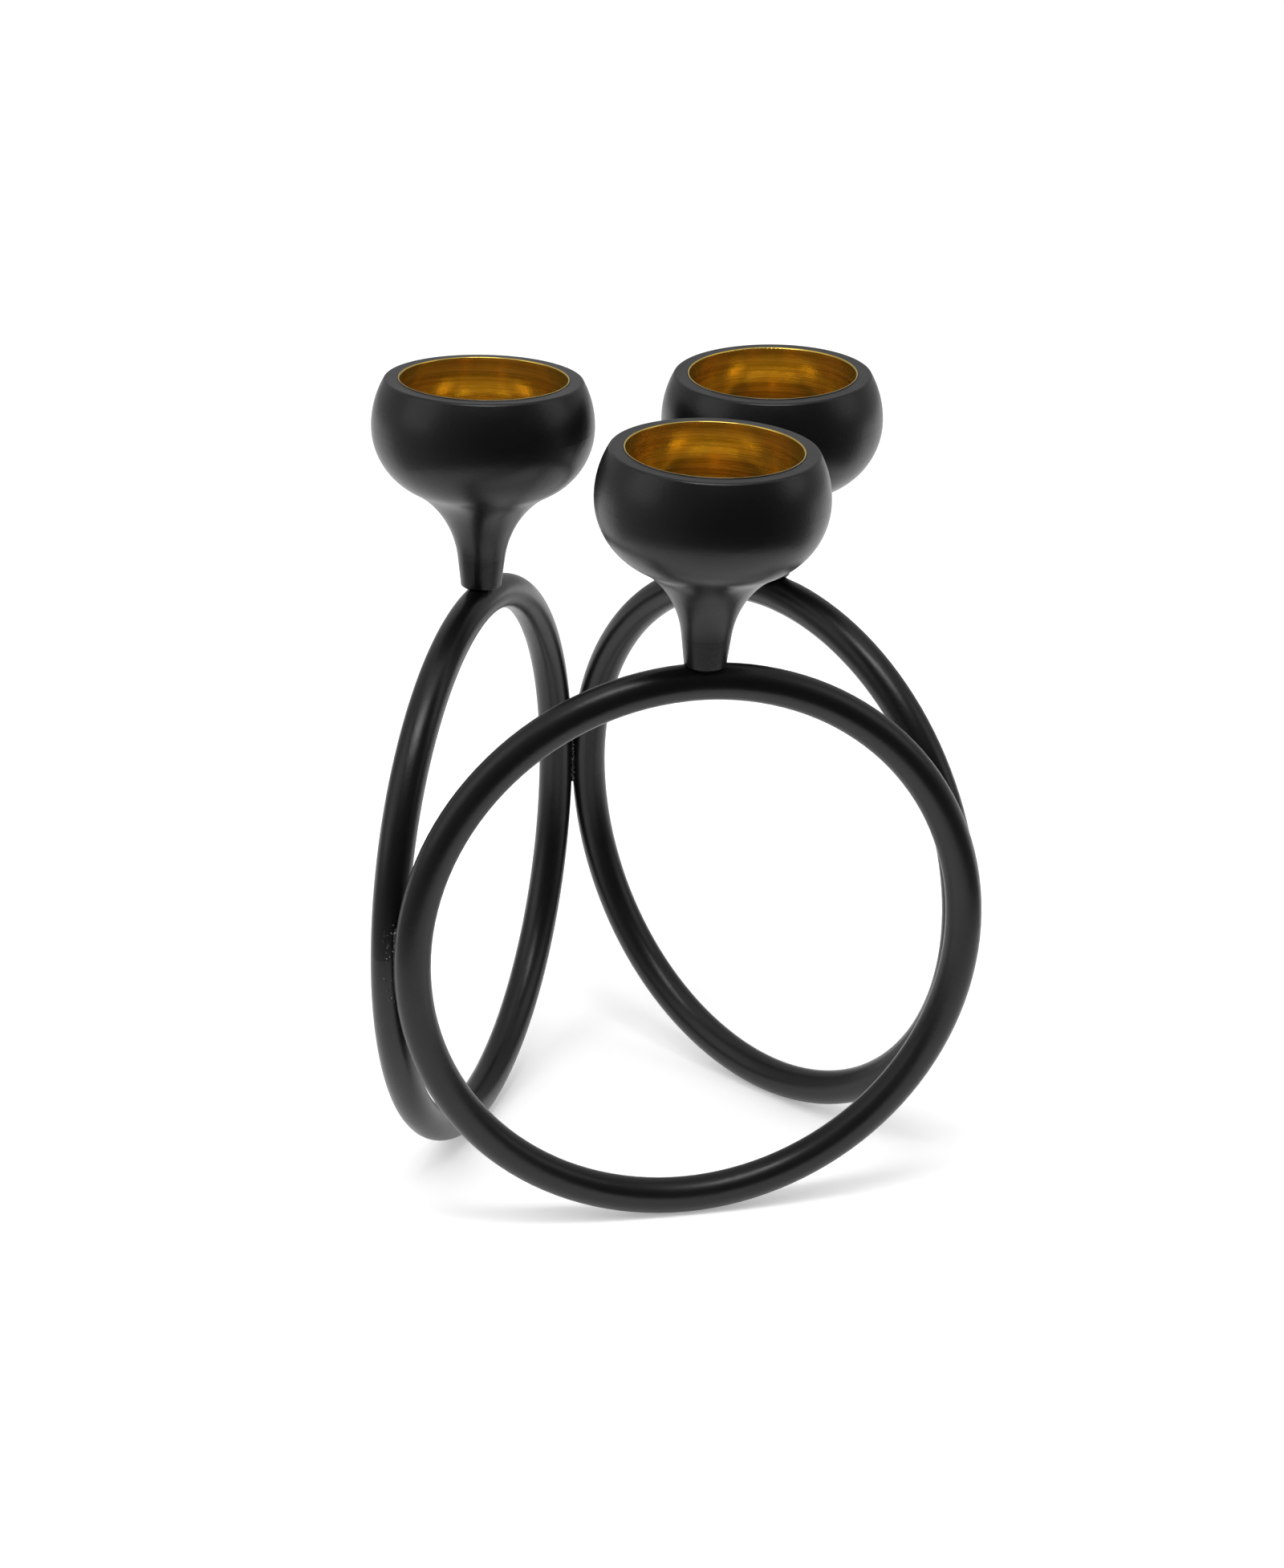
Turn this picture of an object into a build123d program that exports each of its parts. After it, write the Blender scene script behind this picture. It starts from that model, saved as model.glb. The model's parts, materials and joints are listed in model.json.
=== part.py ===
from build123d import *
from math import acos, cos, pi, radians, sin, tan
import os

# Three rings of round bar stand on edge as an open triangle, welded where they meet at half height.
# A turned cup with a spun liner stands on the crown of each ring, held by a hidden stud.
# Lengths are in millimetres and angles in degrees.

# Rings
ring_radius = 66.5          # middle of the bar to the middle of the ring
bar_radius = 4.3
ring_gap = 0.2              # between two bars where they are welded

# How each ring stands in this hand-made frame. Lean is how far its top tips towards the middle,
# roll is how far its cup's axis tips along the ring, and turn is how far the line across
# the gap to the next ring is turned from a true triangle's corner.
stance = {
    "front": {"lean": -3.2, "roll": 0.8, "turn": 18.0},
    "right": {"lean": 2.9, "roll": -2.3, "turn": -4.5},
    "left": {"lean": 1.0, "roll": 0.2, "turn": -2.0},
}

# Pocket for a tealight, with a well for a dinner candle in its floor
pocket_radius = 20.0
pocket_depth = 16.2         # from the cup's rim down to the floor
well_radius = 11.0
well_depth = 9.4            # from the floor down to the well's bottom

# Spun liner
liner_wall = 0.5
liner_proud = 0.2           # how far its lip stands above the rim
liner_clearance = 0.05      # all round, inside the cup
floor_corner = 1.2          # round corner between pocket wall and floor
well_lip = 1.0              # round edge where the floor turns down into the well
well_corner = 1.5
under_liner = 0.3           # space left under the well's bottom

# Cup
rim_width = 3.6             # from the pocket's wall to the outside of the rim
rim_round = 0.8
belly_swell = 3.1           # how far the belly stands out past the rim
belly_depth = 11.4          # from the rim down to the widest place
well_floor = 0.5            # from the liner's underside down to where the underside turns hollow
underside_slope = 61.8      # of the underside there, from the cup's axis
neck_radius = 5.75
neck_taper = 7.0
neck_height = 7.6           # straight part, from the foot up
foot_chamfer = 0.5
cutter_corner = 0.4         # inside corners of the cavity

# Fixing
seat_depth = 0.4            # flat that the foot stands on, below the bar's crown
seat_margin = 0.1
stud_radius = 2.0
stud_clearance = 0.05
stud_chamfer = 0.4
stud_in_cup = 9.0
stud_spare = 0.5            # of the hole's depth above the stud
bar_under_stud = 2.2

# Weld beads
bead_radius = 1.4
bead_length = 17.0
bead_end = 0.6              # round edge at each end
bead_clearance = 0.02

# Worked out from those
liner_radius = pocket_radius + liner_wall
rim_radius = pocket_radius + rim_width
belly_radius = rim_radius + belly_swell
hollow_depth = pocket_depth + liner_wall + well_depth + well_floor
bowl_arc = (hollow_depth - belly_depth) / sin(radians(underside_slope))
hollow_radius = belly_radius - bowl_arc * (1 - cos(radians(underside_slope)))
neck_arc = (hollow_radius - neck_radius) / (cos(radians(neck_taper)) - cos(radians(underside_slope)))
neck_drop = neck_arc * (sin(radians(underside_slope)) - sin(radians(neck_taper)))
foot_radius = neck_radius - neck_height * tan(radians(neck_taper))
cup_height = hollow_depth + neck_drop + neck_height
seat_height = ring_radius + bar_radius - seat_depth
stud_in_bar = 2 * bar_radius - seat_depth - bar_under_stud
stud_hole = stud_radius + stud_clearance


def flat(angle):
    """Unit vector on the floor, at an angle from +X."""
    return Vector(cos(radians(angle)), sin(radians(angle)), 0)


def ring_planes():
    """A plane for each ring: its origin is the ring's middle, X runs along the ring and Z faces out.

    The three diameters and the three gaps close into one loop, which settles the two headings."""
    pitch = 2 * bar_radius + ring_gap
    gaps = [flat(60 + 120 * i + arm["turn"]) * pitch for i, arm in enumerate(stance.values())]
    rest = Vector(1, 0, 0) + (gaps[0] + gaps[1] + gaps[2]) * (0.5 / ring_radius)
    half = acos(rest.length / 2) * 180 / pi
    back = (rest * -1).normalized()
    along = [Vector(1, 0, 0), back.rotate(Axis.Z, -half), back.rotate(Axis.Z, half)]
    planes, start = {}, Vector(0, 0, 0)
    for arm, heading, gap in zip(stance, along, gaps):
        lean = radians(stance[arm]["lean"])
        middle = start + heading * ring_radius
        height = Vector(0, 0, ring_radius * cos(lean) + bar_radius)
        out = heading.cross(Vector(0, 0, 1))
        facing = out * cos(lean) + Vector(0, 0, sin(lean))
        planes[arm] = Plane(origin=middle + height, x_dir=heading, z_dir=facing)
        start = middle + heading * ring_radius + gap
    return planes


def seat_plane(ring, roll):
    """The flat on a ring's crown, with Z up the cup's axis."""
    up = ring.y_dir * cos(radians(roll)) + ring.x_dir * sin(radians(roll))
    along = ring.x_dir * cos(radians(roll)) - ring.y_dir * sin(radians(roll))
    return Plane(origin=ring.origin + up * seat_height, x_dir=along, z_dir=up)


def section(seat):
    """The plane of a cup's section: X is the radius and Y the height above the foot."""
    return Plane(origin=seat.origin, x_dir=seat.x_dir, z_dir=seat.x_dir.cross(seat.z_dir))


def make_ring(ring, seat):
    """Round bar bent into a ring, with a flat and a blind hole for the cup on its crown."""
    with BuildPart() as bar:
        with Locations(ring):
            Torus(ring_radius, bar_radius)
        with BuildSketch(seat):
            Circle(foot_radius + seat_margin)
        extrude(amount=2 * seat_depth, mode=Mode.SUBTRACT)
        with Locations(seat):
            Hole(stud_hole, stud_in_bar)
    return bar.part


def make_cup(seat):
    """Turned cup: bellied bowl, hollow underside, tapered neck, and a cavity for the liner."""
    cavity = liner_radius + liner_clearance
    well = well_radius + liner_wall + liner_clearance
    floor_height = cup_height - pocket_depth - liner_wall
    well_height = floor_height - well_depth - under_liner
    with BuildPart() as cup:
        with BuildSketch(section(seat)):
            with BuildLine():
                side = TangentArc((belly_radius, cup_height - belly_depth), (rim_radius, cup_height),
                                  tangent=(0, 1))
                bowl = JernArc(side @ 0, (0, -1), bowl_arc, -underside_slope)
                neck = JernArc(bowl @ 1, bowl % 1, neck_arc, underside_slope - neck_taper)
                Polyline(neck @ 1, (foot_radius, 0), (0, 0), (0, well_height))
                FilletPolyline((0, well_height), (well, well_height), (well, floor_height),
                               (cavity, floor_height), (cavity, cup_height),
                               radius=[cutter_corner, well_lip - liner_wall, cutter_corner])
                Line((cavity, cup_height), side @ 1)
            make_face()
        up = Axis(seat.origin, seat.z_dir)
        revolve(axis=up)
        rim = cup.edges().filter_by(GeomType.CIRCLE).group_by(up)[-1].sort_by(SortBy.RADIUS)[-1]
        fillet(rim, rim_round)
        chamfer(cup.edges().filter_by(GeomType.CIRCLE).group_by(up)[0], foot_chamfer)
        with Locations(Plane(origin=seat.origin, x_dir=seat.x_dir, z_dir=seat.z_dir * -1)):
            Hole(stud_hole, stud_in_cup + stud_spare)
    return cup.part


def make_liner(seat):
    """Spun liner: pocket wall with a round lip, floor, and the well in its middle."""
    floor_height = cup_height - pocket_depth
    well_height = floor_height - well_depth
    top = cup_height + liner_proud - liner_wall / 2
    with BuildPart() as liner:
        with BuildSketch(section(seat)):
            with BuildLine():
                FilletPolyline((0, well_height), (well_radius, well_height), (well_radius, floor_height),
                               (pocket_radius, floor_height), (pocket_radius, top),
                               radius=[well_corner, well_lip, floor_corner])
                ThreePointArc((pocket_radius, top), (pocket_radius + liner_wall / 2, top + liner_wall / 2),
                              (liner_radius, top))
                FilletPolyline((0, well_height - liner_wall), (well_radius + liner_wall, well_height - liner_wall),
                               (well_radius + liner_wall, floor_height - liner_wall),
                               (liner_radius, floor_height - liner_wall), (liner_radius, top),
                               radius=[well_corner + liner_wall, well_lip - liner_wall, floor_corner + liner_wall])
                Line((0, well_height), (0, well_height - liner_wall))
            make_face()
        revolve(axis=Axis(seat.origin, seat.z_dir))
    return liner.part


def make_stud(seat):
    """Stud from the bottom of the bar's hole up into the foot."""
    with BuildPart() as stud:
        with BuildSketch(seat.offset(-stud_in_bar)):
            Circle(stud_radius)
        extrude(amount=stud_in_bar + stud_in_cup)
        chamfer(stud.edges().filter_by(GeomType.CIRCLE), stud_chamfer)
    return stud.part


def make_bead(ring, next_ring):
    """Weld bead down the narrow gap between the end of one ring and the start of the next."""
    end = ring.origin + ring.x_dir * ring_radius
    start = next_ring.origin - next_ring.x_dir * ring_radius
    with BuildPart() as bead:
        with Locations((end + start) * 0.5):
            Cylinder(bead_radius, bead_length)
        fillet(bead.edges().filter_by(GeomType.CIRCLE), bead_end)
        with Locations(ring, next_ring):
            Torus(ring_radius, bar_radius + bead_clearance, mode=Mode.SUBTRACT)
    return bead.part


rings = ring_planes()
pieces = {}
for arm, ring in rings.items():
    seat = seat_plane(ring, stance[arm]["roll"])
    pieces[f"{arm}_ring"] = make_ring(ring, seat)
    pieces[f"{arm}_cup"] = make_cup(seat)
    pieces[f"{arm}_liner"] = make_liner(seat)
    pieces[f"{arm}_stud"] = make_stud(seat)

order = list(rings)
for arm, following in zip(order, order[1:] + order[:1]):
    pieces[f"weld_{arm}_{following}"] = make_bead(rings[arm], rings[following])

# The origin is on the floor, under the middle of the whole frame's box
boxes = [piece.bounding_box() for piece in pieces.values()]
middle_x = (min(box.min.X for box in boxes) + max(box.max.X for box in boxes)) / 2
middle_y = (min(box.min.Y for box in boxes) + max(box.max.Y for box in boxes)) / 2

os.makedirs("parts", exist_ok=True)
for name, piece in pieces.items():
    placed = piece.moved(Location((-middle_x, -middle_y, 0)))
    placed.label = name
    export_step(placed, f"parts/{name}.step")

print("cup height", round(cup_height, 2), "foot radius", round(foot_radius, 2), "bowl arc", round(bowl_arc, 2))
print("shift", round(-middle_x, 3), round(-middle_y, 3))
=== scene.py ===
import json
import math
import random

import bpy
import numpy as np
from mathutils import Matrix, Vector


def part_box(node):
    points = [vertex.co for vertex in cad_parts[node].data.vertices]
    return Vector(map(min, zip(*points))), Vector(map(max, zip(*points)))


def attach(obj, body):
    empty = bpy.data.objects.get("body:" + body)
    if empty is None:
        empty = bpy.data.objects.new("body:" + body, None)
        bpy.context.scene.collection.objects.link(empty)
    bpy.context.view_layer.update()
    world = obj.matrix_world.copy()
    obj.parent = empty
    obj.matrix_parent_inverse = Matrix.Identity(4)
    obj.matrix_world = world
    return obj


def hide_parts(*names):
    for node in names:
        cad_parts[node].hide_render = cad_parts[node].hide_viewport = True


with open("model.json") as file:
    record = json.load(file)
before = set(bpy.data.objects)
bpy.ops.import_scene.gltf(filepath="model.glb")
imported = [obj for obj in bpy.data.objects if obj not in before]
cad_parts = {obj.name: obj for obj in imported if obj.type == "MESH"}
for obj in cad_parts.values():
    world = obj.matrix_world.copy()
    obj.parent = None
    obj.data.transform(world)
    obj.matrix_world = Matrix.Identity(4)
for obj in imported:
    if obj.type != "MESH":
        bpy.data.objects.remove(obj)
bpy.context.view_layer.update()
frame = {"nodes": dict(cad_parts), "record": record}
nodes = frame["nodes"]
mm = 0.001
arms = ("front", "right", "left")
print("frame loaded:", len(nodes), "nodes")


# Shader maths: a socket that takes part in Python expressions

class Val:
    def __init__(self, tree, socket):
        self.tree = tree
        self.socket = socket

    def __add__(self, other):
        return self.tree.maths("ADD", self, other)

    def __radd__(self, other):
        return self.tree.maths("ADD", other, self)

    def __sub__(self, other):
        return self.tree.maths("SUBTRACT", self, other)

    def __rsub__(self, other):
        return self.tree.maths("SUBTRACT", other, self)

    def __mul__(self, other):
        return self.tree.maths("MULTIPLY", self, other)

    def __rmul__(self, other):
        return self.tree.maths("MULTIPLY", other, self)


class Tree:
    def __init__(self, owner):
        owner.use_nodes = True
        self.nodes = owner.node_tree.nodes
        self.links = owner.node_tree.links
        self.nodes.clear()

    # Any node: its type, its settings, then the values or links of its sockets
    def add(self, kind, settings=None, sockets=None, out=0):
        node = self.nodes.new(kind)
        for name, value in (settings or {}).items():
            setattr(node, name, value)
        for name, value in (sockets or {}).items():
            socket = node.inputs[name]
            if isinstance(value, Val):
                self.links.new(value.socket, socket)
            else:
                socket.default_value = value
        return Val(self, node.outputs[out]) if node.outputs else None

    # Where on the piece: the object's own coordinates, in metres
    def place(self):
        return self.add("ShaderNodeTexCoord", out="Object")

    def maths(self, operation, *values):
        return self.add("ShaderNodeMath", {"operation": operation}, dict(enumerate(values)))

    def vector(self, operation, a, b=(0, 0, 0), out=0):
        return self.add("ShaderNodeVectorMath", {"operation": operation}, {0: a, 1: b}, out)

    def noise(self, where, grain, detail=3.0, rough=0.5):
        return self.add("ShaderNodeTexNoise", {}, {
            "Vector": where, "Scale": 1 / grain, "Detail": detail, "Roughness": rough})

    # A value taken from one range into another, held at the ends
    def fit(self, value, low, high, toLow=0.0, toHigh=1.0):
        return self.add("ShaderNodeMapRange", {}, {0: value, 1: low, 2: high, 3: toLow, 4: toHigh})

    def mixColour(self, factor, a, b):
        return self.add("ShaderNodeMix", {"data_type": "RGBA"}, {0: factor, 6: a, 7: b}, out=2)

    # A relief, from heights in metres
    def relief(self, height):
        return self.add("ShaderNodeBump", {}, {"Strength": 1.0, "Distance": 1.0, "Height": height})

    def finish(self, shader):
        self.add("ShaderNodeOutputMaterial", {}, {0: shader})

    def surface(self, sockets):
        self.finish(self.add("ShaderNodeBsdfPrincipled", {}, sockets))


def newMaterial(name):
    material = bpy.data.materials.new(name)
    return material, Tree(material)


def rgb(red, green, blue):
    return (red, green, blue, 1.0)


noiseMiddle = 0.5               # what a noise texture varies about


# Meshes and objects

def addObject(name, data):
    thing = bpy.data.objects.new(name, data)
    bpy.context.scene.collection.objects.link(thing)
    return thing


def addMesh(name, vertices, faces):
    mesh = bpy.data.meshes.new(name)
    mesh.from_pydata([tuple(point) for point in vertices], [], faces)
    return addObject(name, mesh)


# Four-sided faces between rows of count points each, which follow one another from point start
def quads(start, rows, count, closed=True):
    faces = []
    for row in range(rows - 1):
        for k in range(count if closed else count - 1):
            a, b = start + row * count + k, start + row * count + (k + 1) % count
            faces.append((a, b, b + count, a + count))
    return faces


def dress(piece, material):
    piece.data.materials.clear()
    piece.data.materials.append(material)
    for face in piece.data.polygons:
        face.material_index = 0


# Where the rings stand, read from their own meshes

def ringFrame(arm):
    points = np.array([v.co for v in nodes[f"{arm}_ring"].data.vertices])
    facing = np.linalg.svd(points - points.mean(0), full_matrices=False)[2][2]
    along = np.array([facing[1], -facing[0], 0.0]) / math.hypot(facing[0], facing[1])
    upward = np.cross(facing, along)
    upward *= math.copysign(1.0, upward[2])
    across, height, depth = points @ along, points @ upward, points @ facing
    outer = (across.max() - across.min()) / 2
    bar = (depth.max() - depth.min()) / 2
    middle = (along * (across.max() + across.min()) / 2 + upward * (height.min() + outer)
              + facing * (depth.max() + depth.min()) / 2)
    return {"middle": Vector(middle), "along": Vector(along), "up": Vector(upward),
            "radius": outer - bar, "bar": bar}


rings = {arm: ringFrame(arm) for arm in arms}
print("rings read, radius", round(rings["front"]["radius"] / mm, 2),
      "bar", round(rings["front"]["bar"] / mm, 2))


# Black coat: satin sprayed paint with a fine orange peel, a little dust and slight changes in gloss; on the
# weld beads its specks are pale painted glints instead

coat = {
    "colour": rgb(0.0034, 0.0035, 0.0038),
    "ior": 1.42,
    "roughness": (0.27, 0.33),
    "texture": 1.0,             # of the heights of the peel and the grain
    "peelSize": 0.9 * mm,
    "peelHeight": 0.028 * mm,
    "grainSize": 0.22 * mm,
    "grainHeight": 0.006 * mm,
    "grainGloss": 0.03,         # how far the grain changes the roughness
    "cloudSize": 14 * mm,
    "cloudRange": (0.35, 0.65),
    "dustAndGlintSize": 0.35 * mm,
    "dustAndGlintFrom": 0.74,           # of the noise, so a lower value gives more specks
    "dustAndGlintEdge": 0.06,
    "dustAndGlintShare": 0.6,
    "dustAndGlintColour": rgb(0.016, 0.016, 0.017),
}
# On the weld beads it is rougher, and its specks are pale: painted glints, where light would sparkle on the
# spatter
weldCoat = {**coat, "texture": 1.6, "dustAndGlintColour": rgb(0.42, 0.42, 0.43), "dustAndGlintFrom": 0.58}


def makeCoat(name, finish):
    material, tree = newMaterial(name)
    where = tree.place()
    peel = tree.noise(where, finish["peelSize"], detail=2.0)
    grain = tree.noise(where, finish["grainSize"], detail=3.0, rough=0.6)
    cloud = tree.noise(where, finish["cloudSize"], detail=4.0, rough=0.55)
    specks = tree.noise(where, finish["dustAndGlintSize"], detail=1.0)
    # Specks: dark dust on the coat, and pale painted glints on the weld beads
    dustAndGlints = tree.fit(specks, finish["dustAndGlintFrom"], finish["dustAndGlintFrom"] + finish["dustAndGlintEdge"])
    height = (peel * (finish["peelHeight"] * finish["texture"])
              + grain * (finish["grainHeight"] * finish["texture"]))
    tree.surface({
        "Base Color": tree.mixColour(dustAndGlints * finish["dustAndGlintShare"], finish["colour"], finish["dustAndGlintColour"]),
        "Roughness": (tree.fit(cloud, *finish["cloudRange"], *finish["roughness"])
                      + grain * finish["grainGloss"]),
        "Normal": tree.relief(height),
        "IOR": finish["ior"],
    })
    return material


# Brass liner: lacquered spun brass, with turning lines round its axis

brass = {
    "colour": rgb(0.80, 0.56, 0.11),
    "deepColour": rgb(0.58, 0.39, 0.06),
    "metal": 0.94,              # the rest is the lacquer's haze
    "roughness": (0.12, 0.18),
    "lineSize": 0.32 * mm,
    "lineHeight": 0.0013 * mm,
    "lineGloss": 0.5,           # how far the lines change the roughness, beside the bands
    "lineColour": 1.4,          # and how far they change the colour
    "bandSize": 1.6 * mm,
    "bandRange": (0.3, 0.7),
    "wobble": 0.02,
    "paintFrom": 0.30 * mm,     # the black coat laps over the lip from here out
    "paintEdge": 0.05 * mm,
}


def makeBrass(name, middle, axis, inner):
    material, tree = newMaterial(name)
    fromMiddle = tree.vector("SUBTRACT", tree.place(), tuple(middle))
    height = tree.vector("DOT_PRODUCT", fromMiddle, tuple(axis), out="Value")
    radius = tree.vector("LENGTH", tree.vector("CROSS_PRODUCT", fromMiddle, tuple(axis)), out="Value")
    drift = tree.add("ShaderNodeVectorMath", {"operation": "SCALE"}, {
        0: fromMiddle, "Scale": brass["wobble"]})
    # walls differ in height and floors in radius, so the lines run round both
    rounds = tree.add("ShaderNodeCombineXYZ", {}, {0: height, 1: radius})
    spun = tree.vector("ADD", rounds, drift)
    lines = tree.noise(spun, brass["lineSize"], detail=2.0, rough=0.6)
    bands = tree.noise(spun, brass["bandSize"], detail=3.0, rough=0.6)
    gloss = bands + (lines - noiseMiddle) * brass["lineGloss"]
    roughness = tree.fit(gloss, *brass["bandRange"], *brass["roughness"])
    shade = bands + (lines - noiseMiddle) * brass["lineColour"]
    colour = tree.mixColour(tree.fit(shade, *brass["bandRange"]), brass["deepColour"], brass["colour"])
    edge = inner + brass["paintFrom"]
    unevenRadius = radius + (bands - noiseMiddle) * brass["paintEdge"]
    painted = tree.fit(unevenRadius, edge, edge + brass["paintEdge"])
    tree.surface({
        "Base Color": tree.mixColour(painted, colour, coat["colour"]),
        "Metallic": (1.0 - painted) * brass["metal"],
        "Roughness": tree.fit(painted, 0, 1, roughness, coat["roughness"][0]),
        "Normal": tree.relief(lines * brass["lineHeight"]),
    })
    return material


# Steel of the hidden studs: drawn lines along the stud

steel = {
    "colour": rgb(0.45, 0.45, 0.46),
    "roughness": (0.28, 0.42),
    "lineSize": 0.08 * mm,
    "lineRange": (0.3, 0.7),
    "stretch": (1, 1, 0.05),
}


def makeSteel(name):
    material, tree = newMaterial(name)
    drawn = tree.noise(tree.vector("MULTIPLY", tree.place(), steel["stretch"]), steel["lineSize"])
    tree.surface({
        "Base Color": steel["colour"],
        "Metallic": 1.0,
        "Roughness": tree.fit(drawn, *steel["lineRange"], *steel["roughness"]),
    })
    return material


blackPaint = makeCoat("black_coat", coat)
weldPaint = makeCoat("weld_coat", weldCoat)
studSteel = makeSteel("stud_steel")
pockets = {m["name"].split("_")[0]: m for m in frame["record"]["mounts"] if m["name"].endswith("pocket")}
for arm in arms:
    dress(nodes[f"{arm}_ring"], blackPaint)
    dress(nodes[f"{arm}_cup"], blackPaint)
    dress(nodes[f"{arm}_stud"], studSteel)
    pocket = pockets[arm]
    pocketRadius = pocket["dims"]["r_mm"] * mm
    linerBrass = makeBrass(f"liner_brass_{arm}", pocket["pos_m"], pocket["axis"], pocketRadius)
    dress(nodes[f"{arm}_liner"], linerBrass)
print("finishes on", len(nodes), "nodes")


# Weld beads: a run of overlapping ripples between two bars, with a few drops of spatter beside it

weld = {
    "depth": 1.7 * mm,          # from the plane of the two bars out to the bead's face
    "endDepth": 0.35,           # at its very ends, as a share of that
    "crown": 0.34 * mm,
    "sink": 0.03 * mm,          # how far its toes are fused into the bars
    "ripple": 1.15 * mm,
    "rippleHeight": 0.10 * mm,
    "rippleFullness": 0.6,      # below 1 the ripples are round on top with narrow valleys
    "bend": 0.55,               # how far a ripple trails at its toes, in ripples
    "wander": 0.15,             # how far the ripples' spacing comes and goes, in ripples
    "wanderRate": 900,          # in radians for each metre of height
    "rows": 180,
    "faceCuts": 14,
    "roundEnd": 1.3 * mm,
    "raised": {"weld_right_left": 5.6 * mm},    # how far a bead's lower end is above the CAD bead's
}
spatter = {
    "weld_front_right": {"drops": 5, "seed": 11},
    "weld_right_left": {"drops": 4, "seed": 23},
    "weld_left_front": {"drops": 34, "seed": 37},
    "span": (-0.15, 1.1),       # where along the bead, as a share of its length
    "outside": 0.85,            # share of the drops on the frame's outside
    "reach": 4.2 * mm,          # round the bar, from the plane of the two bars
    "radius": (0.14 * mm, 0.33 * mm),
    "flat": 0.6,
    "sides": 10,
    "levels": 4,
}


# The end of one ring that is nearest to another ring, as a sign along the ring
def nearEnd(ring, other):
    out, toOther = ring["along"] * ring["radius"], other["middle"] - ring["middle"]
    return min((1, -1), key=lambda sign: (out * sign - toOther).length)


# The middle of a ring's bar at a height above the floor, on the side that the sign says
def barAt(ring, sign, height):
    rise = height - ring["middle"].z
    lift = rise / ring["up"].z
    out = math.sqrt(ring["radius"] ** 2 - lift ** 2)
    return ring["middle"] + ring["up"] * lift + ring["along"] * (out * sign)


# The points round one level section of a bead, from toe to toe over each of its two faces
def beadSection(left, right, bar, depth, phase, across):
    gap = right - left
    gap.z = 0.0
    along = gap.normalized()
    middle = (left + right) / 2
    reach = depth - weld["sink"]
    half = gap.length / 2 - math.sqrt(bar ** 2 - reach ** 2) + weld["sink"]
    points = []
    for side in (1, -1):
        for k in range(weld["faceCuts"] + 1):
            share = 2 * k / weld["faceCuts"] - 1
            tail = phase - weld["bend"] * share ** 2
            wave = 0.5 + 0.5 * math.cos(2 * math.pi * tail)
            ripple = weld["rippleHeight"] * wave ** weld["rippleFullness"]
            crown = (1 - share ** 2) * (weld["crown"] + ripple)
            out = across * side * (reach + crown * depth / weld["depth"])
            points.append(middle + along * (half * share * side) + out)
    return points


def makeBead(name, first, second):
    a, b = rings[first], rings[second]
    signA, signB = nearEnd(a, b), nearEnd(b, a)
    low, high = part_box(name)
    bottom = low.z + weld["raised"].get(name, 0.0)
    length = high.z - bottom
    rows, end = weld["rows"], weld["roundEnd"]
    vertices = []
    for row in range(rows + 1):
        height = bottom + length * row / rows
        toEnd = min(height - bottom, high.z - height, end)
        rounded = math.sqrt(max(1 - (1 - toEnd / end) ** 2, 0.0))
        depth = weld["depth"] * (weld["endDepth"] + (1 - weld["endDepth"]) * rounded)
        wander = weld["wander"] * math.sin(height * weld["wanderRate"])
        phase = (height - bottom) / weld["ripple"] + wander
        left, right = barAt(a, signA, height), barAt(b, signB, height)
        across = (right - left).cross(Vector((0, 0, 1))).normalized()
        vertices += beadSection(left, right, a["bar"], depth, phase, across)
    count = len(vertices) // (rows + 1)
    faces = quads(0, rows + 1, count)
    faces += [tuple(reversed(range(count))), tuple(rows * count + k for k in range(count))]
    rnd = random.Random(spatter[name]["seed"])
    for _ in range(spatter[name]["drops"]):
        addDrop(vertices, faces, rnd, a, signA, b, bottom, length)
    piece = addMesh(name + "_bead", vertices, faces)
    piece.data.validate()
    piece.data.update()
    for face in piece.data.polygons:
        face.use_smooth = True
    dress(piece, weldPaint)
    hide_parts(name)
    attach(piece, "root")


# A flattened drop of spatter that sits on the first ring's bar, close beside the bead
def addDrop(vertices, faces, rnd, ring, sign, other, bottom, length):
    height = bottom + length * rnd.uniform(*spatter["span"])
    centre = barAt(ring, sign, height)
    gap = barAt(other, nearEnd(other, ring), height) - centre
    gap.z = 0.0
    toOther, across = gap.normalized(), gap.cross(Vector((0, 0, 1))).normalized()
    outside = math.copysign(1, across.dot(centre))
    side = outside if rnd.random() < spatter["outside"] else -outside
    angle = side * rnd.uniform(weld["depth"], spatter["reach"]) / ring["bar"]
    normal = toOther * math.cos(angle) + across * math.sin(angle)
    size = rnd.uniform(*spatter["radius"])
    turn = normal.to_track_quat("Z", "Y").to_matrix()
    base = ring["bar"] - weld["sink"]
    start, sides, levels = len(vertices), spatter["sides"], spatter["levels"]
    for level in range(levels):
        tilt = math.pi / 2 * level / levels
        for k in range(sides):
            spin = 2 * math.pi * k / sides
            local = Vector((math.cos(spin) * math.cos(tilt), math.sin(spin) * math.cos(tilt),
                            math.sin(tilt) * spatter["flat"])) * size
            vertices.append(centre + normal * base + turn @ local)
    vertices.append(centre + normal * (base + size * spatter["flat"]))
    faces += quads(start, levels, sides)
    top = start + (levels - 1) * sides
    faces += [(top + k, top + (k + 1) % sides, top + sides) for k in range(sides)]
    faces.append(tuple(start + k for k in reversed(range(sides))))


for first, second in zip(arms, arms[1:] + arms[:1]):
    makeBead(f"weld_{first}_{second}", first, second)
print("weld beads made")


# Floor and backdrop: white to the camera, with the object's shadow left on the floor

studio = {
    "floorSize": 6.0,
    "floorColour": rgb(0.80, 0.80, 0.80),
    "floorGlow": 0.31,          # added to what the lights give it, where it is looked at
    "worldColour": rgb(1.0, 1.0, 1.0),
    "worldLight": 0.60,
    "worldSeen": 1.0,
}


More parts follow.
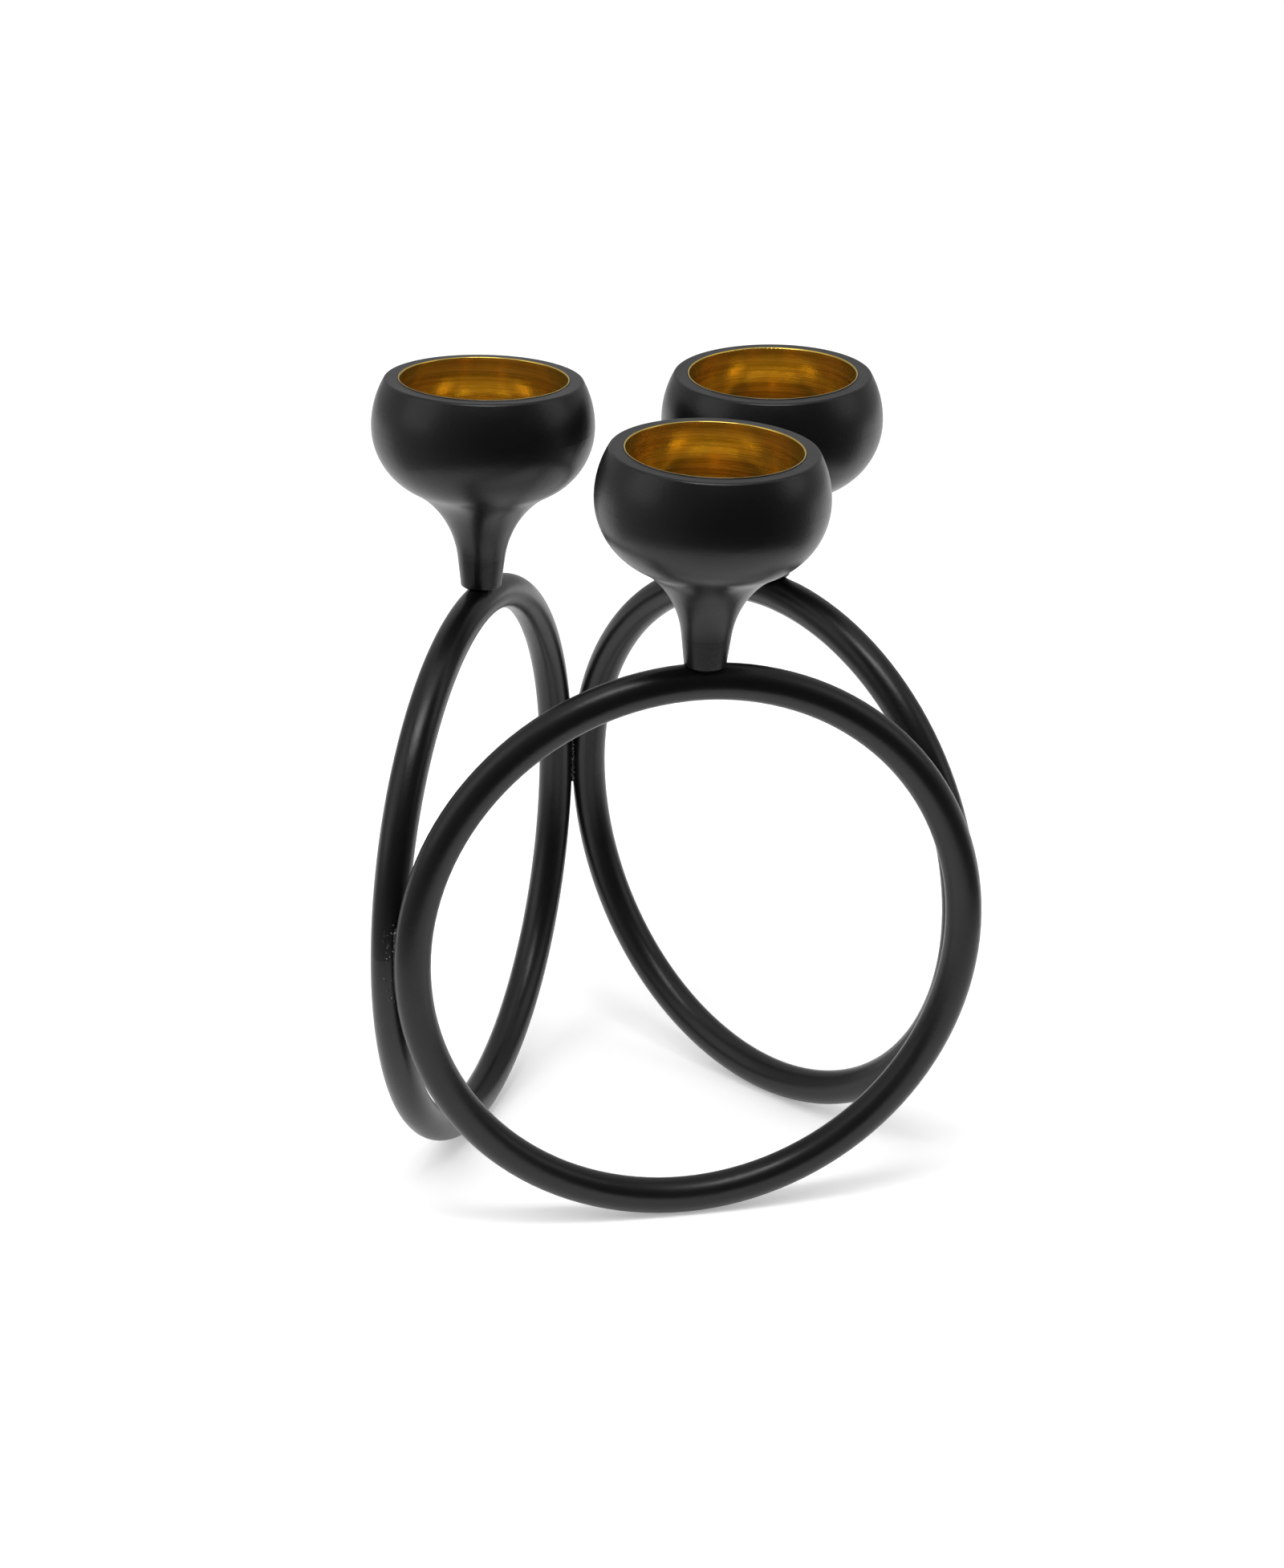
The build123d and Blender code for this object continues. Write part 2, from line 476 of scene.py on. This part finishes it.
# 1 where the camera looks, straight or by a reflection, and 0 for the light that matt surfaces gather
def lookedAt(tree):
    straight = tree.add("ShaderNodeLightPath", out="Is Camera Ray")
    rays = straight.socket.node.outputs
    return straight + Val(tree, rays["Is Glossy Ray"]) + Val(tree, rays["Is Transmission Ray"])


def makeFloor():
    half = studio["floorSize"] / 2
    corners = [(-half, -half, 0), (half, -half, 0), (half, half, 0), (-half, half, 0)]
    floor = addMesh("floor", corners, [(0, 1, 2, 3)])
    material, tree = newMaterial("floor_paper")
    paper = tree.add("ShaderNodeBsdfDiffuse", {}, {"Color": studio["floorColour"]})
    level = tree.fit(lookedAt(tree), 0, 1, 0.0, studio["floorGlow"])
    glow = tree.add("ShaderNodeEmission", {}, {"Color": level})
    tree.finish(tree.add("ShaderNodeAddShader", {}, {0: paper, 1: glow}))
    dress(floor, material)


def makeWorld():
    world = bpy.data.worlds.new("studio")
    bpy.context.scene.world = world
    tree = Tree(world)
    light = tree.fit(lookedAt(tree), 0, 1, studio["worldLight"], studio["worldSeen"])
    sky = tree.add("ShaderNodeBackground", {}, {"Color": studio["worldColour"], "Strength": light})
    tree.add("ShaderNodeOutputWorld", {}, {0: sky})


# A place seen from the origin. Azimuth 0 is the front and grows to the right, and both are in degrees.
def around(azimuth, elevation, distance):
    a, e = math.radians(azimuth), math.radians(elevation)
    return Vector((math.sin(a) * math.cos(e), -math.cos(a) * math.cos(e), math.sin(e))) * distance


# The room as gloss sees it: dark on the camera's side, paler at the sides and behind, and bright
# overhead, with a cloth of the same shades on the floor in front. Only reflections see them.
room = {
    "azimuth": 12,              # of the middle of its dark side
    "radius": 1.6,
    "dark": 0.03,
    "pale": 0.46,
    "top": 0.90,
    "sides": (0.92, -0.25),     # cosines of the angle from that middle, all dark and all pale
    "overhead": (0.80, 0.92),   # sines of the elevation where the bright top begins and is full
    "steps": 48,
    "rows": 12,
}
cloth = {
    "azimuth": -13,
    "half": 105,                # of the angle it covers
    "near": 0.24,               # how far from the origin it begins
    "above": 1 * mm,
    "steps": 24,
}


def roomShade(tree):
    toward = tree.vector("NORMALIZE", tree.place())
    facing = tree.vector("DOT_PRODUCT", toward, tuple(around(room["azimuth"], 0, 1.0)), out="Value")
    upward = tree.vector("DOT_PRODUCT", toward, (0, 0, 1), out="Value")
    sides = tree.fit(facing, *room["sides"], room["dark"], room["pale"])
    top = tree.fit(upward, *room["overhead"], 0.0, room["top"])
    return tree.add("ShaderNodeEmission", {}, {"Color": tree.maths("MAXIMUM", sides, top)})


def onlyGloss(name, lines):
    points = [point for line in lines for point in line]
    panel = addMesh(name, points, quads(0, len(lines), len(lines[0]), closed=False))
    material, tree = newMaterial(name)
    tree.finish(roomShade(tree))
    dress(panel, material)
    panel.visible_camera = panel.visible_diffuse = panel.visible_shadow = panel.visible_transmission = False


def makeRoom():
    dome = []
    for step in range(room["steps"] + 1):
        azimuth = 360 * step / room["steps"]
        dome.append([around(azimuth, 90 * row / room["rows"], room["radius"])
                     for row in range(room["rows"] + 1)])
    onlyGloss("room", dome)
    laid = []
    for step in range(cloth["steps"] + 1):
        azimuth = cloth["azimuth"] + cloth["half"] * (2 * step / cloth["steps"] - 1)
        laid.append([around(azimuth, 0, out) + Vector((0, 0, cloth["above"]))
                     for out in (cloth["near"], room["radius"])])
    onlyGloss("cloth", laid)


# Soft boxes stand round the object: where each stands, how large it is and how bright
lamps = {
    "left_box": {"azimuth": -85, "elevation": 30, "distance": 1.1, "size": (0.7, 0.9), "power": 1.5},
    "right_box": {"azimuth": 75, "elevation": 30, "distance": 1.3, "size": (0.6, 0.9), "power": 1.4},
    "front_top_box": {"azimuth": -13, "elevation": 67, "distance": 1.2, "size": (0.6, 0.28), "power": 4.4},
}
lampAim = Vector((0, 0, 0.10))
# The even light from overhead, left out of the gloss
overhead = {"azimuth": -40, "elevation": 65, "strength": 1.25, "angle": 50}


def turnTo(direction):
    return direction.to_track_quat("-Z", "Y")


def makeLamps():
    for name, lamp in lamps.items():
        data = bpy.data.lights.new(name, "AREA")
        data.shape = "RECTANGLE"
        data.size, data.size_y = lamp["size"]
        data.energy = lamp["power"]
        box = addObject(name, data)
        box.location = lampAim + around(lamp["azimuth"], lamp["elevation"], lamp["distance"])
        box.rotation_euler = turnTo(lampAim - box.location).to_euler()
    data = bpy.data.lights.new("overhead", "SUN")
    data.energy, data.angle = overhead["strength"], math.radians(overhead["angle"])
    even = addObject("overhead", data)
    even.rotation_euler = turnTo(-around(overhead["azimuth"], overhead["elevation"], 1.0)).to_euler()
    even.visible_glossy = False


# The photograph's camera: where it looks from, what it aims at, its lens and its slight roll
camera = {
    "azimuth": -13.12,
    "elevation": 19.97,
    "distance": 0.9504,
    "aim": Vector((-1.125, -3.876, 95.33)) * mm,
    "roll": 0.675,
    "lens": 89.88,
    "sensor": 36.0,
}


def makeCamera():
    data = bpy.data.cameras.new("camera")
    data.lens, data.sensor_width = camera["lens"], camera["sensor"]
    eye = addObject("camera", data)
    back = around(camera["azimuth"], camera["elevation"], camera["distance"])
    turn = turnTo(-back).to_matrix() @ Matrix.Rotation(math.radians(camera["roll"]), 3, "Z")
    eye.matrix_world = Matrix.Translation(camera["aim"] + back) @ turn.to_4x4()
    bpy.context.scene.camera = eye


makeFloor()
makeWorld()
makeRoom()
makeLamps()
makeCamera()
bpy.context.scene.view_settings.view_transform = "Standard"
print("studio, lamps and camera set")
